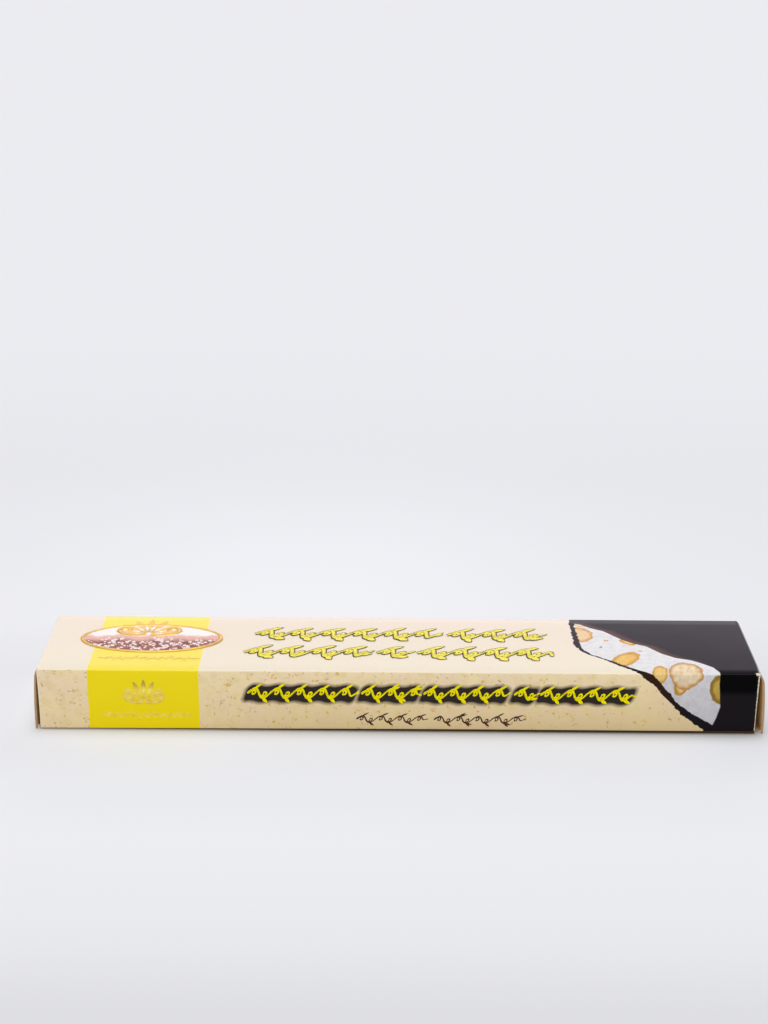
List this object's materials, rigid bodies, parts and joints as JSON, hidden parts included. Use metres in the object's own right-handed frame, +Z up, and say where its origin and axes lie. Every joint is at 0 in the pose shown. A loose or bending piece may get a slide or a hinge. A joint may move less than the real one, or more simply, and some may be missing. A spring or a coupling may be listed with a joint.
{
  "type": "nougat bar carton",
  "caption": "Slim shut tuck-end carton for a bar of chocolate-coated soft nougat: a long flat box of folded printed board, with a lid hinged at each end of its top panel.",
  "frame": {"origin": "centre of the carton's base, on the surface that it lies on", "axes": "+X along the carton towards its dark end, +Y from the front panel to the back panel, +Z up"},
  "size_m": [0.2138, 0.038, 0.0195],
  "materials": {
    "printed_board": "parchment-cream print under a gloss varnish",
    "yellow_ink": "gloss-varnished yellow print",
    "dark_ink": "gloss-varnished dark brown print",
    "pale_ink": "gloss-varnished off-white print",
    "gold_foil": "hot-stamped foil with gold lacquer"
  },
  "bodies": {
    "root": {"carton": "printed_board"}
  },
  "joints": []
}
